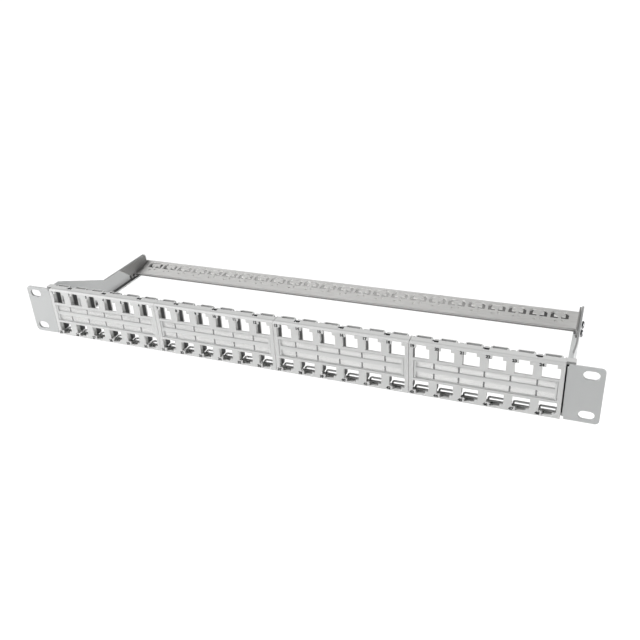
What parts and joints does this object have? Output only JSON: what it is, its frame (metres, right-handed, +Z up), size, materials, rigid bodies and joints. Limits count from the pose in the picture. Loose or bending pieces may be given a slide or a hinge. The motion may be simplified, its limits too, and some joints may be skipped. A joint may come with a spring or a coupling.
{
  "type": "patch panel",
  "caption": "Rack-mount patch panel with rows of empty keystone openings, clear pull-off label covers and a slotted cable tie bar held behind it on side brackets.",
  "frame": {"origin": "middle of the plane of the two rack ears' rear faces, which rest on the rack's posts", "axes": "+X to the right along the panel as seen from its front, +Y back into the rack, +Z up"},
  "size_m": [0.4826, 0.147, 0.0444],
  "materials": {
    "painted_steel": "light grey powder coat, satin",
    "port_plastic": "light grey moulded plastic, satin",
    "label_paper": "plain white card",
    "clear_plastic": "clear, glossy",
    "plated_steel": "zinc plated sheet, satin",
    "zinc_screw": "zinc plated"
  },
  "bodies": {
    "panel": {"side_bracket_left": "painted_steel", "side_bracket_right": "painted_steel", "support_rail": "painted_steel", "port_block_1": "port_plastic", "label_strip_upper_1": "label_paper", "label_strip_lower_1": "label_paper", "port_block_2": "port_plastic", "label_strip_upper_2": "label_paper", "label_strip_lower_2": "label_paper", "port_block_3": "port_plastic", "label_strip_upper_3": "label_paper", "label_strip_lower_3": "label_paper", "port_block_4": "port_plastic", "label_strip_upper_4": "label_paper", "label_strip_lower_4": "label_paper", "cable_bar": "plated_steel", "bar_screw_left_front": "zinc_screw", "bar_screw_left_rear": "zinc_screw", "bar_screw_right_front": "zinc_screw", "bar_screw_right_rear": "zinc_screw"},
    "cover_1": {"label_cover_1": "clear_plastic"},
    "cover_2": {"label_cover_2": "clear_plastic"},
    "cover_3": {"label_cover_3": "clear_plastic"},
    "cover_4": {"label_cover_4": "clear_plastic"}
  },
  "joints": [
    {"name": "cover_1_pull", "type": "slide", "parent": "panel", "child": "cover_1", "axis": [0, -1, 0], "range_m": [0, 0.025]},
    {"name": "cover_2_pull", "type": "slide", "parent": "panel", "child": "cover_2", "axis": [0, -1, 0], "range_m": [0, 0.025]},
    {"name": "cover_3_pull", "type": "slide", "parent": "panel", "child": "cover_3", "axis": [0, -1, 0], "range_m": [0, 0.025]},
    {"name": "cover_4_pull", "type": "slide", "parent": "panel", "child": "cover_4", "axis": [0, -1, 0], "range_m": [0, 0.025]}
  ]
}
